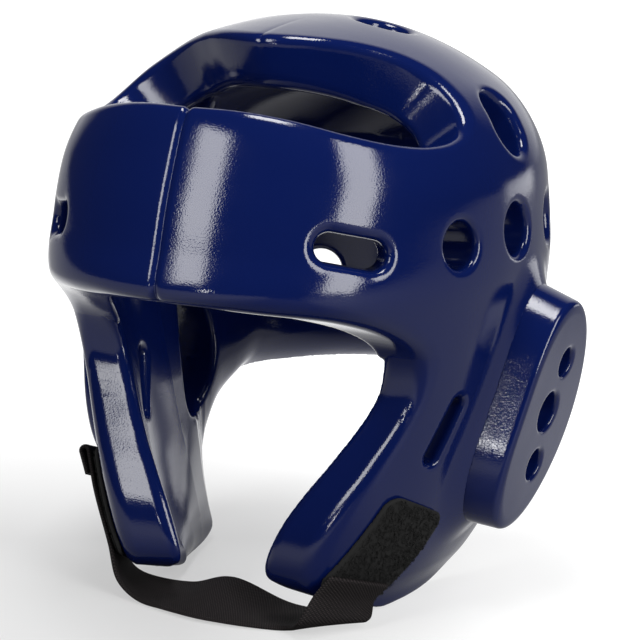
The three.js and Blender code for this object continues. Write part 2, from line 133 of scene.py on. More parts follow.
# Strap route from the left patch to the right one: the front and rear edges at each station.
# A station with a lift lies on the cheek of that side, that far off the foam, and its x is worked out.
STRAP_ROUTE = (
    {"side": 1, "lift": 4.6, "front": (-76, 27), "rear": (-47, 17)},
    {"side": 1, "lift": 4.6, "front": (-79, 19), "rear": (-49, 10.5)},
    {"front": (46, -86, 8), "rear": (65, -58, 4.5)},
    {"front": (36, -80, 1.8), "rear": (48, -51, 1.8)},
    {"front": (20, -84.5, 1.7), "rear": (23, -50.5, 1.8)},
    {"front": (-2, -87, 1.7), "rear": (-5, -53, 10)},
    {"front": (-24, -83.5, 1.7), "rear": (-28, -50.5, 3)},
    {"front": (-40, -79, 2), "rear": (-53, -48.5, 2)},
    {"front": (-52, -75, 8), "rear": (-66, -44, 5)},
    {"side": -1, "lift": 4.8, "front": (-72, 22), "rear": (-41, 14)},
    {"side": -1, "lift": 4.8, "front": (-62, 42), "rear": (-32, 31)},
    {"side": -1, "lift": 5.5, "front": (-54, 58), "rear": (-24, 47)},
)
# The strap is drawn from lines along it. edge_start keeps its round edges from thinning to nothing.
# Its far end is turned over by fold_length, round fold_radius, and closes up by the share fold_settle.
STRAP = {
    "thickness": 2.2, "edge_start": 0.04, "lines": 5, "points_across": 29,
    "fold_radius": 1.7, "fold_steps": 8, "fold_length": 12, "fold_settle": 0.35,
}
# Blends where faces of a piece meet.
BLEND = {"ear_hollow": 3, "foot": 2, "pad_bond": 0.6, "pad_hole": 2.5, "patch_edge": 0.8}
# Heights over which the brow's roll and the cheeks' tuck come in, and the x from which the tuck is measured.
BROW_ROLL_Z = (105, 140)
CHEEK_TUCK = {"z": (120, 95), "from_x": 50}
# The rise round a pad goes on under the pad's wall, to so many times its width, and comes in over these x.
FILLET = {"times": 1.4, "x": (60, 70)}
# Lip at the front of the crown arch: its reach from the opening's edge, and the y over which it comes in.
ARCH_LIP = {"reach": 30, "y": (-40, -15)}
# Seam: the y by which it is full, where the brow ends, its share on the crown, its depth under the skin, and
# how many columns of points at half the pitch follow it on each side.
SEAM = {"full_y": -40, "brow_y": -70, "crown_share": 0.35, "under_skin": 12, "columns": 3}
# Corners of the grids on which the edges of the open face and the top opening are read.
FACE_GRID = ((-145, -25), (30, 165))
TOP_GRID = ((-10, -120), (170, 55))
MOST_TRIANGLES = {"shell": 190000, "pad": 60000, "patch": 12000}


# Curves and distances

def column_curve(table, key, column):
    """Smooth curve through one column of a table, with straight ends."""
    at = np.array(table[key], float)
    value = np.array(table[column], float)
    index = np.arange(len(at))
    before = np.maximum(index - 1, 0)
    after = np.minimum(index + 1, len(at) - 1)
    slope = (value[after] - value[before]) / (at[after] - at[before])

    def curve(t):
        t = np.asarray(t, float)
        i = np.clip(np.searchsorted(at, t) - 1, 0, len(at) - 2)
        run = at[i + 1] - at[i]
        u = np.clip((t - at[i]) / run, 0, 1)
        w = u * u * (3 - 2 * u)
        bend = u * (1 - u) * ((1 - u) * slope[i] - u * slope[i + 1]) * run
        ends = np.minimum(t - at[0], 0) * slope[0] + np.maximum(t - at[-1], 0) * slope[-1]
        return value[i] * (1 - w) + value[i + 1] * w + bend + ends

    return curve


def smooth_max(a, b, blend):
    """Larger of two values, with a soft change of that width from one to the other."""
    h = np.clip(0.5 + 0.5 * (a - b) / blend, 0, 1)
    return b * (1 - h) + a * h + blend * h * (1 - h)


def ramp(value, start, end):
    """0 before start, 1 past end and even between them. end may be the smaller of the two."""
    return np.clip((value - start) / (end - start), 0, 1)


half_width = column_curve(SECTIONS, "z", "half")
front_reach = column_curve(SECTIONS, "z", "front")
back_reach = column_curve(SECTIONS, "z", "back")
gap_half = column_curve(CHIN_GAP, "z", "half")
rim_height = column_curve(RIM, "y", "z")
rim_rise = column_curve(RIM, "y", "rise")
inner_rim = column_curve(INNER_RIM, "y", "z")


def outside(x, y, z):
    """Distance outside the guard's outer surface, about true near the surface."""
    reach = np.where(y < 0, front_reach(z), back_reach(z))
    power = np.where(y < 0, PLAN_POWER["front"], PLAN_POWER["back"])
    u = ((np.abs(x) / half_width(z)) ** power + (np.abs(y) / reach) ** power) ** (1 / power)
    band = np.hypot(x, y) * (1 - 1 / np.maximum(u, 1e-6))
    cy = y - CROWN["y"]
    e = np.hypot(x / CROWN["half"], cy / np.where(cy < 0, CROWN["front"], CROWN["back"]))
    fall = CROWN["drop"] * CROWN["power"] * e ** (CROWN["power"] - 1) / CROWN["half"]
    cap = (z - CROWN["top"] + CROWN["drop"] * e ** CROWN["power"]) / np.hypot(1, fall)
    return smooth_max(band, cap, CROWN["shoulder"])


def wall_thickness(y, z):
    high = ramp(z, WALL["from_z"], WALL["to_z"])
    brow = (WALL["brow"] - WALL["side"]) * ramp(y, 0, -WALL["front"]) * high
    nape = (WALL["nape"] - WALL["side"]) * ramp(y, 0, WALL["back"])
    return WALL["side"] + brow + nape


def spline(points, per_span):
    """Even Catmull-Rom curve through points, as a list of closely spaced points."""
    points = np.array(points, float)
    padded = np.vstack([2 * points[0] - points[1], points, 2 * points[-1] - points[-2]])
    u = np.linspace(0, 1, per_span, endpoint=False)[:, None]
    spans = []
    for a, b, c, d in zip(padded, padded[1:], padded[2:], padded[3:]):
        curve = 2 * b + (c - a) * u + (2 * a - 5 * b + 4 * c - d) * u**2 + (3 * b - a - 3 * c + d) * u**3
        spans.append(curve / 2)
    return np.vstack([*spans, points[-1:]])


class OutlineDistance:
    """Signed distance to a closed flat outline, read smoothly from a fine grid of it."""

    def __init__(self, outline, low, high):
        self.low = np.array(low, float)
        axes = [np.arange(a, b + 1.0) for a, b in zip(low, high)]
        y, z = np.meshgrid(*axes, indexing="ij")
        nearest = np.full(y.shape, np.inf)
        inside = np.zeros(y.shape, bool)
        for a, b in zip(outline, np.roll(outline, -1, axis=0)):
            edge = b - a
            wy, wz = y - a[0], z - a[1]
            t = np.clip((wy * edge[0] + wz * edge[1]) / (edge @ edge), 0, 1)
            nearest = np.minimum(nearest, np.hypot(wy - edge[0] * t, wz - edge[1] * t))
            rises = (a[1] > z) != (b[1] > z)
            slant = edge[0] / (edge[1] if abs(edge[1]) > 1e-9 else 1e-9)
            inside ^= rises & (y < a[0] + slant * (z - a[1]))
        self.grid = np.where(inside, -nearest, nearest)

    def __call__(self, y, z):
        places = []
        for value, low, count in zip((y, z), self.low, self.grid.shape):
            t = np.clip(value - low, 1, count - 2.001)
            i = t.astype(int)
            u = t - i
            weights = (
                -0.5 * u + u**2 - 0.5 * u**3,
                1 - 2.5 * u**2 + 1.5 * u**3,
                0.5 * u + 2 * u**2 - 1.5 * u**3,
                -0.5 * u**2 + 0.5 * u**3,
            )
            places.append((np.clip(i, 1, count - 3), weights))
        (iy, wy), (iz, wz) = places
        total = 0.0
        for a in range(4):
            for b in range(4):
                total = total + self.grid[iy + a - 1, iz + b - 1] * wy[a] * wz[b]
        return total


def face_outline():
    edge = spline(list(zip(FACE_EDGE["y"], FACE_EDGE["z"])), per_span=12)
    low, far = -200.0, -300.0
    corners = [(edge[-1][0], low), (far, low), (far, FACE_EDGE["z"][0])]
    return np.vstack([edge, corners])


def top_outline():
    left = list(zip(TOP_EDGE["x"], TOP_EDGE["y"]))
    right = [(-x, y) for x, y in left[-2:0:-1]]
    lap = 3
    closed = left + right + left[: lap + 1]
    per_span = 8
    return spline(closed, per_span)[lap * per_span // 2 : len(left + right) * per_span + lap * per_span // 2]


face_distance = OutlineDistance(face_outline(), *FACE_GRID)
top_distance = OutlineDistance(top_outline(), *TOP_GRID)


def chin_gap(x, y, z):
    return np.maximum(np.maximum(x - gap_half(z), y - CHIN_GAP_BACK), z - CHIN_GAP["z"][-1])


def below_rim(x, y, z, depth):
    """Distance below the lower rim. depth is the share of the wall that lies outside the point."""
    rise = rim_rise(y)
    height = rim_height(y) + rise * (1 - (x / RIM_HALF) ** 2)
    cut_back = np.maximum(inner_rim(y) - height, 0)
    step = 0.5
    slant_y = (rim_height(y + step) - rim_height(y - step)) / (2 * step)
    slant_x = 2 * rise * x / RIM_HALF**2
    slant_depth = cut_back / WALL["side"]
    steepness = np.sqrt(1 + slant_y**2 + slant_x**2 + slant_depth**2)
    return (height + cut_back * np.clip(depth, 0, 1) - z) / steepness


def top_opening(x, y, z):
    height = TOP_OPENING["height"]
    rise = z - TOP_OPENING["z"]
    share = np.maximum(rise / height, TOP_OPENING["from"] / 2)
    flat_x, flat_y = x / share, (y - TOP_OPENING["y"]) / share
    slant = np.sqrt(1 + (flat_x**2 + flat_y**2) / height**2)
    return np.maximum(top_distance(flat_x, flat_y) * share / slant, TOP_OPENING["from"] * height - rise)


def vent_hole(vent, x, y, z):
    axis = Vector(vent["out"]).normalized()
    along = Vector(vent["along"])
    along = (along - axis * along.dot(axis)).normalized()
    across = axis.cross(along)
    dx, dy, dz = (value - place for value, place in zip((x, y, z), vent["at"]))
    s, t, depth = (dx * way.x + dy * way.y + dz * way.z for way in (along, across, axis))
    slot = np.hypot(np.maximum(np.abs(s) - vent["run"] / 2, 0), t) - vent["bore"] / 2
    return np.maximum(slot, np.abs(depth) - VENT_REACH)


def half_moon(moon, y, z, grow):
    (top_y, top_z), (bottom_y, bottom_z) = moon["top"], moon["bottom"]
    length = math.hypot(top_y - bottom_y, top_z - bottom_z)
    up_y, up_z = (top_y - bottom_y) / length, (top_z - bottom_z) / length
    dy, dz = y - (top_y + bottom_y) / 2, z - (top_z + bottom_z) / 2
    b = dy * up_y + dz * up_z
    a = dy * up_z - dz * up_y
    depth, half = moon["depth"] + grow, length / 2 + grow
    rounded = (np.hypot(a / depth, b / half) - 1) * np.minimum(depth, half)
    return smooth_max(rounded, -a - grow, moon["corner"])


def pad_face(x, z):
    """Distance outside the plane of the pad's face, on the side where x is positive."""
    lean = PAD["lean"]
    return (x - PAD["face_x"] + lean * (PAD["top"][1] - z)) / math.hypot(1, lean)


def ear_hollow(x, y, z):
    roof = pad_face(x, z) + EAR_HOLLOW["roof"]
    return np.maximum(np.maximum(half_moon(EAR_HOLLOW, y, z, 0), roof), EAR_HOLLOW["inside_x"] - x)


def pad_side(x, y, z):
    """Distance outside the pad's side wall, which is square to its face and spreads by its draft."""
    below = np.clip(-pad_face(x, z), 0, PAD["skirt"])
    return half_moon(PAD, y, z - PAD["lean"] * below, PAD["draft"] * below)


def fillet(x, y, z):
    """Height of the skin's soft rise into the side wall of the ear pad."""
    sizes = bpy.context.scene.guard_sizes
    near = np.clip(1 - pad_side(x, y, z) / sizes.fillet_width, 0, FILLET["times"])
    return sizes.fillet_height * near**2 * ramp(x, *FILLET["x"])


def seam_groove(x, y, skin):
    """Depth of the seam down the middle of the brow and, fainter, over the front of the crown."""
    sizes = bpy.context.scene.guard_sizes
    near = ramp(x, sizes.seam_width / 2, 0)
    in_front = ramp(y, 0, SEAM["full_y"])
    near_skin = ramp(skin, -SEAM["under_skin"], 0)
    share = np.where(y < SEAM["brow_y"], 1, SEAM["crown_share"])
    return sizes.seam_depth * near**2 * in_front * near_skin * share


def shell_distance(x, y, z):
    """Distance outside the shell, with its rolled edges, vents, ear hollows and seam."""
    sizes = bpy.context.scene.guard_sizes
    x = np.abs(x)
    skin = outside(x, y, z)
    outer = skin - fillet(x, y, z)
    opening = top_opening(x, y, z)
    arch = ramp(opening, ARCH_LIP["reach"], 0) ** 2 * ramp(y, *ARCH_LIP["y"])
    wall = wall_thickness(y, z) + sizes.arch_lip * arch
    inner = -(skin + wall)
    brow = ramp(z, *BROW_ROLL_Z)
    tuck = sizes.cheek_tuck * ramp(z, *CHEEK_TUCK["z"]) * (x - CHEEK_TUCK["from_x"])
    cuts = (
        (-face_distance(y + tuck, z), sizes.cheek_lip + sizes.brow_roll * brow, sizes.inner_edge),
        (-chin_gap(x, y, z), sizes.lip, sizes.inner_edge),
        (below_rim(x, y, z, -skin / wall), sizes.lip, sizes.rim_roll),
        (-opening, sizes.top_lip, sizes.inner_roll),
    )
    for cut, outer_roll, inner_roll in cuts:
        outer = smooth_max(outer, cut, outer_roll)
        inner = smooth_max(inner, cut, inner_roll)
    body = np.maximum(outer, inner)
    for vent in VENTS:
        body = smooth_max(body, -vent_hole(vent, x, y, z), vent["funnel"])
    body = smooth_max(body, -ear_hollow(x, y, z), BLEND["ear_hollow"])
    body = body + seam_groove(x, y, skin)
    return smooth_max(body, -z, BLEND["foot"])


def pad_distance(side):
    sizes = bpy.context.scene.guard_sizes

    def distance(x, y, z):
        x = side * x
        pad = smooth_max(pad_side(x, y, z), pad_face(x, z), PAD["edge"])
        under = fillet(x, y, z) - outside(x, y, z) - sizes.pad_bond
        pad = smooth_max(pad, under, BLEND["pad_bond"])
        pad = smooth_max(pad, -ear_hollow(x, y, z), BLEND["ear_hollow"])
        for hole in PAD_HOLES:
            bore = np.hypot(y - hole["y"], z - hole["z"]) - hole["bore"] / 2
            pad = smooth_max(pad, -bore, BLEND["pad_hole"])
        return np.maximum(pad, PAD["base_x"] - x)

    return distance


def patch_axes():
    """Middle of a patch seen from the side, its length and its way along."""
    low, high = np.array(PATCH["low"], float), np.array(PATCH["high"], float)
    length = np.linalg.norm(high - low)
    return (low + high) / 2, length, (high - low) / length


def patch_distance(side):
    middle, length, along = patch_axes()

    def distance(x, y, z):
        dy, dz = y - middle[0], z - middle[1]
        s = np.abs(dy * along[0] + dz * along[1]) - length / 2 + PATCH["corner"]
        t = np.abs(dz * along[0] - dy * along[1]) - PATCH["width"] / 2 + PATCH["corner"]
        outline = np.hypot(np.maximum(s, 0), np.maximum(t, 0)) + np.minimum(np.maximum(s, t), 0)
        half = PATCH["thickness"] / 2
        layer = np.abs(outside(x, y, z) - GAP - half) - half
        plate = smooth_max(outline - PATCH["corner"], layer, BLEND["patch_edge"])
        return np.maximum(plate, PATCH["base_x"] - side * x)

    return distance


# Meshes

def unit(vectors):
    return vectors / np.linalg.norm(vectors, axis=-1, keepdims=True)


def slopes(distance, points, reach=0.05):
    """Unit outward directions of a distance at some points, with its own steepness there."""
    columns = []
    for axis in range(3):
        step = np.zeros(3)
        step[axis] = reach
        columns.append((distance(*(points + step).T) - distance(*(points - step).T)) / (2 * reach))
    slope = np.stack(columns, axis=1)
    steepness = np.maximum(np.linalg.norm(slope, axis=1), 1e-6)[:, None]
    return slope / steepness, steepness


def onto_surface(distance, points, rounds, most=1.5):
    """Points moved onto the zero of a distance, by no more than the given step in each round."""
    for _ in range(rounds):
        way, steepness = slopes(distance, points)
        move = distance(*points.T)[:, None] / steepness
        points = points - way * np.clip(move, -most, most)
    return points


def neighbour_means(points, faces):
    """Mean of each point's neighbours along the faces' edges."""
    total = np.zeros_like(points)
    count = np.zeros(len(points))
    for shift in (1, -1):
        other = np.roll(faces, shift, axis=1)
        for axis in range(3):
            total[:, axis] += np.bincount(faces.ravel(), points[other.ravel(), axis], len(points))
        count += np.bincount(faces.ravel(), minlength=len(points))
    return total / count[:, None]


def surface_net(distance, axes):
    """Mesh of four-sided faces over the zero of a distance, on a grid with the given axes."""
    values = distance(*np.meshgrid(*axes, indexing="ij", sparse=True))
    inside = values < 0
    lower, upper = slice(None, -1), slice(1, None)
    corners = [(i, j, k) for i in (0, 1) for j in (0, 1) for k in (0, 1)]
    full = sum(inside[tuple((lower, upper)[bit] for bit in corner)].astype(int) for corner in corners)
    cells = np.argwhere((full > 0) & (full < len(corners)))
    number = np.full(full.shape, -1)
    number[tuple(cells.T)] = np.arange(len(cells))
    total = np.zeros((len(cells), 3))
    hits = np.zeros(len(cells))

    def place(index):
        return np.stack([axis[column] for axis, column in zip(axes, index.T)], axis=1)

    for first in corners:
        for axis in range(3):
            if first[axis]:
                continue
            start = cells + first
            end = start.copy()
            end[:, axis] += 1
            a, b = values[tuple(start.T)], values[tuple(end.T)]
            crossed = (a < 0) != (b < 0)
            share = (a / np.where(a == b, 1, a - b))[:, None]
            points = place(start) * (1 - share) + place(end) * share
            total[crossed] += points[crossed]
            hits[crossed] += 1
    faces = []
    for axis in range(3):
        after, last = (axis + 1) % 3, (axis + 2) % 3
        cut = [slice(1, -1)] * 3
        low, high = list(cut), list(cut)
        low[axis], high[axis] = lower, upper
        starts_in, ends_in = inside[tuple(low)], inside[tuple(high)]
        edges = np.argwhere(starts_in != ends_in)
        outward = starts_in[tuple(edges.T)]
        edges[:, after] += 1
        edges[:, last] += 1
        ring = []
        for step_after, step_last in ((-1, -1), (0, -1), (0, 0), (-1, 0)):
            cell = edges.copy()
            cell[:, after] += step_after
            cell[:, last] += step_last
            ring.append(number[tuple(cell.T)])
        ring = np.stack(ring, axis=1)
        faces.append(np.where(outward[:, None], ring, ring[:, ::-1]))
    return total / hits[:, None], np.vstack(faces)


def thinned(points, faces, most):
    """Mesh of triangles with no more of them than the given number, fewest where the surface is flat."""
    if 2 * len(faces) <= most:
        return points, np.vstack([faces[:, :3], faces[:, [0, 2, 3]]])
    dense = bpy.data.meshes.new("dense")
    dense.from_pydata(points, [], faces)
    carrier = bpy.data.objects.new("dense", dense)
    bpy.context.scene.collection.objects.link(carrier)
    thin = carrier.modifiers.new("thin", "DECIMATE")
    thin.ratio = most / (2 * len(faces))
    thin.use_collapse_triangulate = True
    seen = carrier.evaluated_get(bpy.context.evaluated_depsgraph_get())
    mesh = seen.to_mesh()
    points = np.empty(3 * len(mesh.vertices), np.float32)
    mesh.vertices.foreach_get("co", points)
    faces = np.empty(len(mesh.loops), np.int32)
    mesh.loops.foreach_get("vertex_index", faces)
    seen.to_mesh_clear()
    bpy.data.objects.remove(carrier)
    bpy.data.meshes.remove(dense)
    return points.reshape(-1, 3).astype(float), faces.reshape(-1, 3)


def skin_mesh(distance, axes, most, rounds=2):
    """Surface of a distance with evenly spread points that lie on it, and its normals there."""
    points, faces = surface_net(distance, axes)
    for _ in range(rounds):
        points = 0.5 * (points + neighbour_means(points, faces))
        points = onto_surface(distance, points, 1)
    points, faces = thinned(points, faces, most)
    points = onto_surface(distance, points, 2)
    return points, faces, slopes(distance, points)[0]


def add_mesh(name, points, faces, normals=None, weave=None):
    """Object from points in millimetres about the ear line. weave is each point's place along and across."""
    mesh = bpy.data.meshes.new(name)
    placed = (np.asarray(points, float) + (0, EAR_LINE_Y, 0)) * MM
    faces = np.asarray(faces)
    mesh.vertices.add(len(placed))
    mesh.vertices.foreach_set("co", placed.astype(np.float32).ravel())
    mesh.loops.add(faces.size)
    mesh.loops.foreach_set("vertex_index", faces.astype(np.int32).ravel())
    mesh.polygons.add(len(faces))
    mesh.polygons.foreach_set("loop_start", np.arange(0, faces.size, faces.shape[1], dtype=np.int32))
    mesh.update(calc_edges=True)
    if weave is not None:
        layer = mesh.uv_layers.new(name="weave")
        layer.data.foreach_set("uv", weave[faces.ravel()].astype(np.float32).ravel())
    mesh.validate()
    mesh.polygons.foreach_set("use_smooth", np.ones(len(mesh.polygons), bool))
    if normals is not None:
        mesh.normals_split_custom_set_from_vertices(normals)
    made = bpy.data.objects.new(name, mesh)
    bpy.context.scene.collection.objects.link(made)
    return made


def even_axis(low, high, pitch):
    """Grid places from low to high, with one at zero."""
    return np.arange(math.floor(low / pitch), math.ceil(high / pitch) + 1) * pitch


def node_axes(node, pitch, margin=3):
    low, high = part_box(node)
    ranges = [(a / MM - margin, b / MM + margin) for a, b in zip(low, high)]
    ranges[1] = tuple(value - EAR_LINE_Y for value in ranges[1])
    return [even_axis(a, b, pitch) for a, b in ranges]


def dress(piece, node, material):
    piece.data.materials.append(material)
    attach(piece, BODY)
    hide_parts(node)


def surface_x(side, y, z, lift):
    """Places across at which points lie some millimetres off the outside, found by halving."""
    widest, halvings = 200.0, 40
    low, high = np.zeros(len(y)), np.full(len(y), widest)
    for _ in range(halvings):
        middle = (low + high) / 2
        within = outside(middle, y, z) < lift
        low = np.where(within, middle, low)
        high = np.where(within, high, middle)
    return side * low


def pile_feet(side, count, chance):
    """Places where loops stand on a patch, spread by chance inside its rounded outline."""
    middle, length, along = patch_axes()
    length, width = length - 2 * PILE["edge"], PATCH["width"] - 2 * PILE["edge"]
    s = chance.uniform(-0.5, 0.5, count) * length
    t = chance.uniform(-0.5, 0.5, count) * width
    corner = PATCH["corner"] - PILE["edge"]
    past_s = np.maximum(np.abs(s) - length / 2 + corner, 0)
    past_t = np.maximum(np.abs(t) - width / 2 + corner, 0)
    kept = np.hypot(past_s, past_t) < corner
    s, t = s[kept], t[kept]
    y = middle[0] + along[0] * s - along[1] * t
    z = middle[1] + along[1] * s + along[0] * t
    return np.stack([surface_x(side, y, z, GAP + PATCH["thickness"]), y, z], axis=1)


def pile_loops(side, count):
    """Tiny loops of yarn standing on a patch, as one mesh."""
    chance = np.random.default_rng(PILE["seed"])
    feet = pile_feet(side, count, chance)
    normal, _ = slopes(outside, feet)
    turn = unit(np.cross(normal, chance.normal(size=normal.shape)))
    across = np.cross(normal, turn)
    reach = chance.uniform(*PILE["reach"], len(feet))
    height = chance.uniform(*PILE["height"], len(feet))
    steps, sides = PILE["steps"], PILE["sides"]
    bow = np.linspace(0, math.pi, steps)
    out = turn[:, None] * np.cos(bow)[None, :, None] + normal[:, None] * np.sin(bow)[None, :, None]
    line = feet[:, None] + turn[:, None] * (np.cos(bow)[None] * reach[:, None])[..., None]
    line = line + normal[:, None] * (np.sin(bow)[None] * height[:, None])[..., None]
    spin = np.arange(sides) * 2 * math.pi / sides
    ring = [line + PILE["yarn"] * (out * math.cos(a) + across[:, None] * math.sin(a)) for a in spin]
    points = np.stack(ring, axis=2).reshape(-1, 3)
    base = (np.arange(len(feet))[:, None, None] * steps + np.arange(steps - 1)[None, :, None]) * sides
    k = np.arange(sides)[None, None, :]
    after = (k + 1) % sides
    faces = np.stack([base + k, base + k + sides, base + after + sides, base + after], axis=3).reshape(-1, 4)
    return points, faces


# Materials

def linear(hex_colour):
    """Linear red, green and blue of an sRGB hex colour."""
    parts = [int(hex_colour[i : i + 2], 16) / 255 for i in (1, 3, 5)]
    return [p / 12.92 if p <= 0.04045 else ((p + 0.055) / 1.055) ** 2.4 for p in parts]


def add_node(tree, kind, inputs=None, **settings):
    """Adds a node with its settings. An input is a value, or another node's output to link."""
    made = tree.nodes.new(kind)
    for name, value in settings.items():
        setattr(made, name, value)
    for name, value in (inputs or {}).items():
        if isinstance(value, bpy.types.NodeSocket):
            tree.links.new(value, made.inputs[name])
        else:
            made.inputs[name].default_value = value
    return made


# Names by which a range node's inputs are filled from a row of values.
RANGE_INPUTS = ("Value", "From Min", "From Max", "To Min", "To Max")


def new_material(name):
    """Material with an empty tree, and its output node."""
    material = bpy.data.materials.new(name)
    material.use_nodes = True
    tree = material.node_tree
    tree.nodes.clear()
    return material, tree, add_node(tree, "ShaderNodeOutputMaterial")


def per_mm(size):
    """Texture scale, in patterns per metre, for a pattern of that size in millimetres."""
    return 1 / (size * MM)


def dipped_vinyl():
    """Vinyl skin dipped on foam: deep even colour under a wet gloss, with the fine orange peel that
    breaks up the edges of reflections and the slow waves of the foam beneath."""
    found = bpy.data.materials.get("dipped_vinyl")
    if found:
        return found
    colours = bpy.context.scene.guard_colours
    material, tree, output = new_material("dipped_vinyl")
    place = add_node(tree, "ShaderNodeTexCoord").outputs["Object"]
    waves = add_node(tree, "ShaderNodeTexNoise", {"Vector": place, "Scale": per_mm(22), "Detail": 1.0})
    # The real peel is about 0.3 mm, and is drawn at 0.7 mm so that it shows.
    peel = add_node(tree, "ShaderNodeTexNoise", {"Vector": place, "Scale": per_mm(0.7), "Detail": 1.0})
    haze = add_node(tree, "ShaderNodeTexNoise", {"Vector": place, "Scale": per_mm(14), "Detail": 4.0})
    roughness = add_node(
        tree, "ShaderNodeMapRange", dict(zip(RANGE_INPUTS, (haze.outputs["Fac"], 0.3, 0.7, 0.07, 0.12))),
    )
    slow = add_node(
        tree, "ShaderNodeBump",
        {"Height": waves.outputs["Fac"], "Strength": 0.25, "Distance": 0.6 * MM},
    )
    fine = add_node(
        tree, "ShaderNodeBump",
        {
            "Height": peel.outputs["Fac"], "Strength": 0.5, "Distance": 0.07 * MM,
            "Normal": slow.outputs["Normal"],
        },
    )
    shader = add_node(
        tree, "ShaderNodeBsdfPrincipled",
        {
            "Base Color": (*colours.vinyl, 1.0), "IOR": 1.53, "Roughness": roughness.outputs["Result"],
            "Normal": fine.outputs["Normal"],
        },
    )
    tree.links.new(shader.outputs["BSDF"], output.inputs["Surface"])
    return material


def woven_elastic():
    """Elastic webbing woven from polyester and rubber: near black, dull, with slanted ribs of yarn and
    painted shade between them.
    """
    colours = bpy.context.scene.guard_colours
    material, tree, output = new_material("woven_elastic")
    place = add_node(tree, "ShaderNodeUVMap", uv_map="weave").outputs["UV"]
    # The yarns are about 0.5 mm apart, and are drawn at 1 mm so that they show.
    turned = [
        add_node(tree, "ShaderNodeMapping", {"Vector": place, "Rotation": (0, 0, math.radians(angle))})
        for angle in (35, -35)
    ]
    ribs = [
        add_node(
            tree, "ShaderNodeTexWave",
            {"Vector": way.outputs["Vector"], "Scale": per_mm(1.0) * math.pi / 10, "Distortion": 0.6,
             "Detail Scale": 2.0},
        )
        for way in turned
    ]
    weave = add_node(
        tree, "ShaderNodeMath", {0: ribs[0].outputs["Fac"], 1: ribs[1].outputs["Fac"]}, operation="MULTIPLY",
    )
    # The colour between the ribs is darker as painted shade.
    yarn_painted_shade = add_node(
        tree, "ShaderNodeMix",
        {"Factor": weave.outputs["Value"], "A": (*colours.strap_painted_shade, 1.0), "B": (*colours.strap, 1.0)},
        data_type="RGBA",
    )
    bump = add_node(tree, "ShaderNodeBump", {"Height": weave.outputs["Value"], "Distance": 0.25 * MM})
    shader = add_node(
        tree, "ShaderNodeBsdfPrincipled",
        {
            "Base Color": yarn_painted_shade.outputs["Result"], "Roughness": 0.8, "Specular IOR Level": 0.25,
            "Normal": bump.outputs["Normal"],
        },
    )
    tree.links.new(shader.outputs["BSDF"], output.inputs["Surface"])
    return material


def loop_pile():
    """Brushed nylon loops on a knitted ground: black, without gloss, lighter where the loops stand up."""
    found = bpy.data.materials.get("loop_pile")
    if found:
        return found
    colours = bpy.context.scene.guard_colours
    material, tree, output = new_material("loop_pile")
    place = add_node(tree, "ShaderNodeTexCoord").outputs["Object"]
    tufts = add_node(tree, "ShaderNodeTexNoise", {"Vector": place, "Scale": per_mm(0.8), "Detail": 3.0})
    bump = add_node(tree, "ShaderNodeBump", {"Height": tufts.outputs["Fac"], "Distance": 0.18 * MM})
    shader = add_node(
        tree, "ShaderNodeBsdfPrincipled",
        {
            "Base Color": (*colours.pile, 1.0), "Roughness": 0.95, "Specular IOR Level": 0.02,
            "Normal": bump.outputs["Normal"],
        },
    )
    tree.links.new(shader.outputs["BSDF"], output.inputs["Surface"])
    return material


# Strap

def station_points(row, shares):
    """Points of one strap station from its front edge to its rear one."""
    front, rear = np.array(row["front"], float), np.array(row["rear"], float)
    points = front + (rear - front) * shares[:, None]
    if "lift" in row:
        y, z = points.T
        points = np.stack([surface_x(row["side"], y, z, row["lift"]), y, z], axis=1)
    return points


def strap_sheet(pitch):
    """Middle surface of the strap as rows of points, about one row for each pitch of its length."""
    shares = np.linspace(0, 1, STRAP["lines"])
    stations = np.array([station_points(row, shares) for row in STRAP_ROUTE])
    middle = stations[:, len(shares) // 2]
    run = np.concatenate([[0], np.cumsum(np.linalg.norm(np.diff(middle, axis=0), axis=1))])
    places = np.linspace(0, run[-1], int(run[-1] / pitch) + 1)
    lines = np.empty((len(places), len(shares), 3))
    for k in range(len(shares)):
        for axis in range(3):
            lines[:, k, axis] = column_curve({"run": run, "at": stations[:, k, axis]}, "run", "at")(places)
    fine = np.linspace(0, 1, STRAP["points_across"])
    sheet = np.empty((len(places), len(fine), 3))
    for axis in range(3):
        for row in range(len(places)):
            sheet[row, :, axis] = column_curve({"s": shares, "at": lines[row, :, axis]}, "s", "at")(fine)
    return sheet


def sheet_normals(sheet):
    along = np.gradient(sheet, axis=0)
    across = np.gradient(sheet, axis=1)
    return unit(np.cross(across, along))


def fold_back(sheet, pitch):
    """Sheet carried on round a fold at its last row and back along itself, on the outer side."""
    radius, back = STRAP["fold_radius"], int(STRAP["fold_length"] / pitch)
    normal = sheet_normals(sheet)
    away = -normal if normal[-1, 0, 0] > 0 else normal
    ahead = unit(sheet[-1] - sheet[-2])
    turns = np.linspace(0, math.pi, STRAP["fold_steps"] + 1)[1:]
    rows = [sheet[-1] + ahead * radius * math.sin(t) + away[-1] * radius * (1 - math.cos(t)) for t in turns]
    for step in range(1, back):
        lift = 2 * radius * (1 - STRAP["fold_settle"] * step / back)
        rows.append(sheet[-1 - step] + away[-1 - step] * lift)
    return np.concatenate([sheet, np.array(rows)])


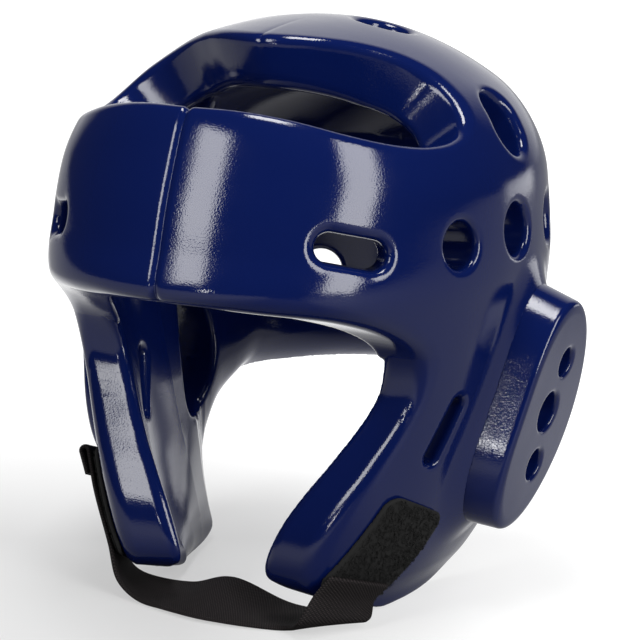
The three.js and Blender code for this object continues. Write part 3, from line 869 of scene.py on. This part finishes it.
def strap_mesh(sheet, pitch):
    """Closed band round a middle surface, with rounded selvedges, and its places along and across."""
    rows, across, _ = sheet.shape
    normal = sheet_normals(sheet)
    edge = np.linalg.norm(np.diff(sheet[rows // 2], axis=0), axis=1)
    width = np.concatenate([[0], np.cumsum(edge)])
    inset = np.minimum(width, width[-1] - width)
    half = STRAP["thickness"] / 2
    swell = half * np.sqrt(np.clip(1 - (1 - np.clip(inset / half, STRAP["edge_start"], 1)) ** 2, 0, 1))
    upper = sheet + normal * swell[None, :, None]
    lower = (sheet - normal * swell[None, :, None])[:, ::-1]
    rings = np.concatenate([upper, lower], axis=1)
    count = 2 * across
    points = rings.reshape(-1, 3)
    along = np.repeat(np.arange(rows) * pitch, count)
    over = np.tile(np.concatenate([width, width[::-1]]), rows)
    weave = np.stack([along, over], axis=1) * MM
    base = np.arange(rows - 1)[:, None] * count
    k = np.arange(count)[None, :]
    turn = (k + 1) % count
    faces = np.stack([base + k, base + turn, base + count + turn, base + count + k], axis=2).reshape(-1, 4)
    caps = []
    for start, flip in ((0, True), ((rows - 1) * count, False)):
        for j in range(across - 1):
            quad = [start + j, start + j + 1, start + count - 2 - j, start + count - 1 - j]
            caps.append(quad[::-1] if flip else quad)
    faces = np.vstack([faces, caps])
    return points, faces, weave


# Stage

# Half the floor's side and the height at which the camera aims, in metres.
FLOOR_HALF = 6.0
AIM_Z = 0.125
# Where the aim shows in the photograph's frame, and that frame's side, in pixels.
AIM_PIXEL = (305, 300)
FRAME_PIXELS = 640
# Ways from the guard to the middle of the pale wall and to the rear right of the floor.
BACKDROP_WAY = (-0.4, 0.87, 0.27)
REAR_RIGHT = (0.7, 0.7, 0)


def camera_floor_painted_glow(tree, side, back):
    """Painted glow of the floor as the camera sees it: greyer to the front and left as painted shade, and
    white behind.
    """
    far, right = (
        add_node(tree, "ShaderNodeMapRange", dict(zip(RANGE_INPUTS, row))).outputs["Result"]
        for row in ((back, 0.05, 0.3, 0.47, 0.97), (side, -0.05, 0.1, 0.0, 0.3))
    )
    return add_node(tree, "ShaderNodeMath", {0: far, 1: right}, operation="ADD").outputs["Value"]


def reflected_floor_painted_glow(tree, place, side, back):
    """Painted glow of the floor in reflections: a strip of painted light behind the guard, with painted shade
    at the dim sides and the dark front.
    """
    off = add_node(tree, "ShaderNodeMath", {0: side}, operation="ABSOLUTE").outputs["Value"]
    beside = add_node(tree, "ShaderNodeVectorMath", {0: place, 1: REAR_RIGHT}, operation="DOT_PRODUCT")
    within, rear, right, left = (
        add_node(tree, "ShaderNodeMapRange", dict(zip(RANGE_INPUTS, row))).outputs["Result"]
        for row in (
            (off, 0.15, 0.38, 1.0, 0.0),
            (back, -0.02, 0.15, 0.0, 0.8),
            (beside.outputs["Value"], 0.0, 0.07, 0.04, 0.3),
            (side, -0.2, -0.06, 0.35, 0.0),
        )
    )
    strip = add_node(tree, "ShaderNodeMath", {0: within, 1: rear, 2: right}, operation="MULTIPLY_ADD")
    both = add_node(tree, "ShaderNodeMath", {0: strip.outputs["Value"], 1: left}, operation="ADD")
    return both.outputs["Value"]


def add_floor(yaw):
    """Pale floor that glows by painted emission, darker in reflections than the camera sees it."""
    ends = ((-1, -1), (1, -1), (1, 1), (-1, 1))
    half = FLOOR_HALF / MM
    floor = add_mesh("floor", [(x * half, y * half, 0) for x, y in ends], [(0, 1, 2, 3)])
    material, tree, output = new_material("pale_floor")
    place = add_node(tree, "ShaderNodeNewGeometry").outputs["Position"]
    side, back = (
        add_node(tree, "ShaderNodeVectorMath", {0: place, 1: way}, operation="DOT_PRODUCT").outputs["Value"]
        for way in ((math.cos(yaw), math.sin(yaw), 0), (-math.sin(yaw), math.cos(yaw), 0))
    )
    seen = add_node(tree, "ShaderNodeLightPath").outputs["Is Camera Ray"]
    glow = add_node(
        tree, "ShaderNodeMix",
        {"Factor": seen, "A": reflected_floor_painted_glow(tree, place, side, back), "B": camera_floor_painted_glow(tree, side, back)},
    )
    # The floor's colour is painted darker in reflections than the camera sees it: painted shade.
    painted_floor_shade = add_node(tree, "ShaderNodeMix", {"Factor": seen, "A": 0.1, "B": 0.3})
    # White emission makes the floor glow though it is no lamp: painted light.
    shader = add_node(
        tree, "ShaderNodeBsdfPrincipled",
        {
            "Base Color": painted_floor_shade.outputs["Result"], "Roughness": 0.7, "Specular IOR Level": 0.2,
            "Emission Color": (1, 1, 1, 1), "Emission Strength": glow.outputs["Result"],
        },
    )
    tree.links.new(shader.outputs["BSDF"], output.inputs["Surface"])
    floor.data.materials.append(material)


def add_world(brightness):
    """Pale wall behind the guard that fades to a dim room in front of it."""
    world = bpy.data.worlds.new("studio")
    world.use_nodes = True
    tree = world.node_tree
    tree.nodes.clear()
    way = add_node(tree, "ShaderNodeTexCoord").outputs["Generated"]
    behind = add_node(tree, "ShaderNodeVectorMath", {0: way, 1: BACKDROP_WAY}, operation="DOT_PRODUCT")
    level = add_node(
        tree, "ShaderNodeMapRange",
        dict(zip(RANGE_INPUTS, (behind.outputs["Value"], 0.72, 0.92, 0.03, brightness))),
    ).outputs["Result"]
    light = add_node(tree, "ShaderNodeBackground", {"Color": (1, 1, 1, 1), "Strength": level})
    seen = add_node(tree, "ShaderNodeBackground", {"Color": (1, 1, 1, 1), "Strength": 1.0})
    path = add_node(tree, "ShaderNodeLightPath")
    mix = add_node(
        tree, "ShaderNodeMixShader",
        {0: path.outputs["Is Camera Ray"], 1: light.outputs["Background"], 2: seen.outputs["Background"]},
    )
    output = add_node(tree, "ShaderNodeOutputWorld", {"Surface": mix.outputs["Shader"]})
    output.is_active_output = True
    bpy.context.scene.world = world


# Soft boxes: where each stands in metres, the point that it faces, its width and height, its brightness
# against the main one, and the degrees by which its top leans over.
SOFT_BOXES = {
    "left_box": ((-0.415, -1.372, 0.894), (0, -0.115, 0.19), (0.44, 0.75), 1.0, 5),
    "right_box": ((1.371, -0.528, 0.81), (0.07, -0.08, 0.18), (0.5, 1.6), 1.0, -21),
    "top_box": ((0.05, -0.15, 1.9), (0, 0, 0), (0.5, 0.9), 1.8, 0),
    "low_strip": ((-0.131, -1.389, 0.26), (0.11, -0.02, 0.09), (0.06, 0.14), 3.0, 0),
    "rear_card": ((0.66, 1.45, 0.1), (-0.05, 0, 0.05), (0.45, 0.19), 0.25, 0),
}


def add_lights(brightness):
    for name, (at, to, (width, height), share, lean) in SOFT_BOXES.items():
        data = bpy.data.lights.new(name, "AREA")
        data.shape = "RECTANGLE"
        data.size, data.size_y = width, height
        data.energy = brightness * share * math.pi * width * height
        light = bpy.data.objects.new(name, data)
        light.location = at
        facing = (Vector(at) - Vector(to)).to_track_quat("Z", "Y")
        light.rotation_euler = (facing @ Quaternion((0, 0, 1), math.radians(lean))).to_euler()
        bpy.context.scene.collection.objects.link(light)


def add_camera(stage):
    data = bpy.data.cameras.new("camera")
    data.lens = stage.lens
    data.shift_x = (FRAME_PIXELS / 2 - AIM_PIXEL[0]) / FRAME_PIXELS
    data.shift_y = (AIM_PIXEL[1] - FRAME_PIXELS / 2) / FRAME_PIXELS
    camera = bpy.data.objects.new("camera", data)
    flat = math.cos(stage.tilt)
    way = Vector((math.sin(stage.yaw) * flat, -math.cos(stage.yaw) * flat, math.sin(stage.tilt)))
    camera.location = Vector((0, EAR_LINE_Y * MM, AIM_Z)) + way * stage.distance
    camera.rotation_euler = way.to_track_quat("Z", "Y").to_euler()
    bpy.context.scene.collection.objects.link(camera)
    bpy.context.scene.camera = camera


# Properties

def millimetres(name, description, default, least=0.0):
    return FloatProperty(name=name, description=f"{description}, in mm", default=default, min=least)


def colour(name, description, hex_colour):
    return FloatVectorProperty(
        name=name, description=description, subtype="COLOR", default=linear(hex_colour),
    )


class GuardSizes(bpy.types.PropertyGroup):
    """Sizes of the guard's surfaces."""

    lip: millimetres("Lip", "Blend of the skin round the outer edges", 6.0, 1.0)
    brow_roll: millimetres("Brow roll", "Extra blend under the brow", 2.0)
    top_lip: millimetres("Top lip", "Blend round the opening over the brow", 5.0)
    inner_roll: millimetres("Inner roll", "Blend round the top opening's inner edge", 9.0)
    rim_roll: millimetres("Rim roll", "Blend inside the lower rim", 20.0)
    inner_edge: millimetres("Inner edge", "Blend round the face's inner edges", 4.0)
    cheek_lip: millimetres("Cheek lip", "Blend round the cheeks' front edges", 6.0)
    arch_lip: millimetres("Arch lip", "Extra wall at the crown arch's front edge", 8.0)
    cheek_tuck: FloatProperty(
        name="Cheek tuck", description="Inward turn of the cheeks' front faces, as a slope", default=0.14,
    )
    fillet_width: millimetres("Fillet width", "Width of the rise round the ear pads", 9.0)
    fillet_height: millimetres("Fillet height", "Height of that rise", 4.0)
    pad_bond: millimetres("Pad bond", "Depth to which a pad's edge is bonded in", 0.5)
    pitch: millimetres("Skin pitch", "Spacing of the shell's points", 1.3, 1.0)
    pad_pitch: millimetres("Pad pitch", "Spacing of the pads' points", 0.8, 0.5)
    patch_pitch: millimetres("Patch pitch", "Spacing of the patches' points", 0.9, 0.5)
    strap_pitch: millimetres("Strap pitch", "Spacing of the strap's rows", 1.0, 0.5)
    seam_width: millimetres("Seam width", "Width of the seam down the brow", 7.0)
    seam_depth: millimetres("Seam depth", "Depth of the seam down the brow", 1.2)
    loops: IntProperty(name="Loops", description="Loops of pile on each patch", default=1500, min=0)


class GuardColours(bpy.types.PropertyGroup):
    """Colours of the guard's finishes."""

    vinyl: colour("Vinyl", "Colour of the dipped skin", "#08174d")
    strap: colour("Strap", "Colour of the strap's raised yarns", "#3a3334")
    # Painted shade between the yarns of the strap.
    strap_painted_shade: colour("Strap shade", "Colour between the yarns", "#100e0f")
    pile: colour("Pile", "Colour of the loop pile", "#040405")


class GuardStage(bpy.types.PropertyGroup):
    """Camera and light."""

    yaw: FloatProperty(
        name="Yaw", description="Camera's turn from the front", subtype="ANGLE", default=math.radians(30),
    )
    tilt: FloatProperty(
        name="Tilt", description="Camera's angle above the floor", subtype="ANGLE", default=math.radians(13),
    )
    distance: FloatProperty(name="Distance", description="Camera's distance", subtype="DISTANCE", default=1.3)
    lens: FloatProperty(name="Lens", description="Focal length", unit="CAMERA", default=164.5)
    softbox: FloatProperty(name="Softbox", description="Brightness of the soft boxes' faces", default=8.0)
    backdrop: FloatProperty(name="Backdrop", description="Brightness of the pale wall behind", default=0.95)


# Operators

class GUARD_OT_shell(bpy.types.Operator):
    """Builds the foam shell with its dipped skin"""

    bl_idname = "guard.shell"
    bl_label = "Shell"

    def execute(self, context):
        pitch = context.scene.guard_sizes.pitch
        axes = node_axes("shell", pitch, margin=10)
        seam = np.arange(-SEAM["columns"], SEAM["columns"] + 1) * pitch / 2
        axes[0] = np.union1d(np.round(axes[0], 6), np.round(seam, 6))
        shell = add_mesh("dipped_shell", *skin_mesh(shell_distance, axes, MOST_TRIANGLES["shell"]))
        dress(shell, "shell", dipped_vinyl())
        return {"FINISHED"}


class GUARD_OT_ear_pads(bpy.types.Operator):
    """Builds the two ear pads"""

    bl_idname = "guard.ear_pads"
    bl_label = "Ear pads"

    def execute(self, context):
        for word, side in SIDES.items():
            node = f"ear_pad_{word}"
            axes = node_axes(node, context.scene.guard_sizes.pad_pitch)
            pad = add_mesh(f"dipped_{node}", *skin_mesh(pad_distance(side), axes, MOST_TRIANGLES["pad"]))
            dress(pad, node, dipped_vinyl())
        return {"FINISHED"}


class GUARD_OT_loop_patches(bpy.types.Operator):
    """Builds the loop patches on the cheeks"""

    bl_idname = "guard.loop_patches"
    bl_label = "Loop patches"

    def execute(self, context):
        for word, side in SIDES.items():
            node = f"loop_patch_{word}"
            axes = node_axes(node, context.scene.guard_sizes.patch_pitch)
            points, faces, _ = skin_mesh(patch_distance(side), axes, MOST_TRIANGLES["patch"], 1)
            pile, loops = pile_loops(side, context.scene.guard_sizes.loops)
            loops = np.vstack([loops[:, :3], loops[:, [0, 2, 3]]]) + len(points)
            patch = add_mesh(f"pile_{node}", np.vstack([points, pile]), np.vstack([faces, loops]))
            dress(patch, node, loop_pile())
        return {"FINISHED"}


class GUARD_OT_chin_strap(bpy.types.Operator):
    """Builds the woven chin strap"""

    bl_idname = "guard.chin_strap"
    bl_label = "Chin strap"

    def execute(self, context):
        pitch = context.scene.guard_sizes.strap_pitch
        sheet = fold_back(strap_sheet(pitch), pitch)
        points, faces, weave = strap_mesh(sheet, pitch)
        strap = add_mesh("woven_chin_strap", points, faces, weave=weave)
        dress(strap, "chin_strap", woven_elastic())
        return {"FINISHED"}


class GUARD_OT_stage(bpy.types.Operator):
    """Builds the floor, the light and the camera"""

    bl_idname = "guard.stage"
    bl_label = "Stage"

    def execute(self, context):
        add_floor(context.scene.guard_stage.yaw)
        add_world(context.scene.guard_stage.backdrop)
        add_lights(context.scene.guard_stage.softbox)
        add_camera(context.scene.guard_stage)
        context.scene.view_settings.view_transform = "Standard"
        return {"FINISHED"}


# Panel and registration

class GUARD_PT_panel(bpy.types.Panel):
    """Lists the guard's sizes, colours and pieces"""

    bl_label = "Head Guard"
    bl_space_type = "VIEW_3D"
    bl_region_type = "UI"
    bl_category = "Head Guard"

    def draw(self, context):
        for group in (context.scene.guard_sizes, context.scene.guard_colours, context.scene.guard_stage):
            for name in group.bl_rna.properties.keys():
                if name not in ("rna_type", "name"):
                    self.layout.prop(group, name)
        for operator in OPERATORS:
            self.layout.operator(operator.bl_idname)


OPERATORS = (GUARD_OT_stage, GUARD_OT_shell, GUARD_OT_ear_pads, GUARD_OT_loop_patches, GUARD_OT_chin_strap)
GROUPS = {"guard_sizes": GuardSizes, "guard_colours": GuardColours, "guard_stage": GuardStage}


def register():
    for item in (*GROUPS.values(), *OPERATORS, GUARD_PT_panel):
        bpy.utils.register_class(item)
    for name, group in GROUPS.items():
        setattr(bpy.types.Scene, name, PointerProperty(type=group))


def unregister():
    for name in GROUPS:
        delattr(bpy.types.Scene, name)
    for item in (GUARD_PT_panel, *OPERATORS, *GROUPS.values()):
        bpy.utils.unregister_class(item)


def main():
    register()
    bpy.ops.guard.stage()
    bpy.ops.guard.shell()
    bpy.ops.guard.ear_pads()
    bpy.ops.guard.loop_patches()
    bpy.ops.guard.chin_strap()


if __name__ == "__main__":
    main()
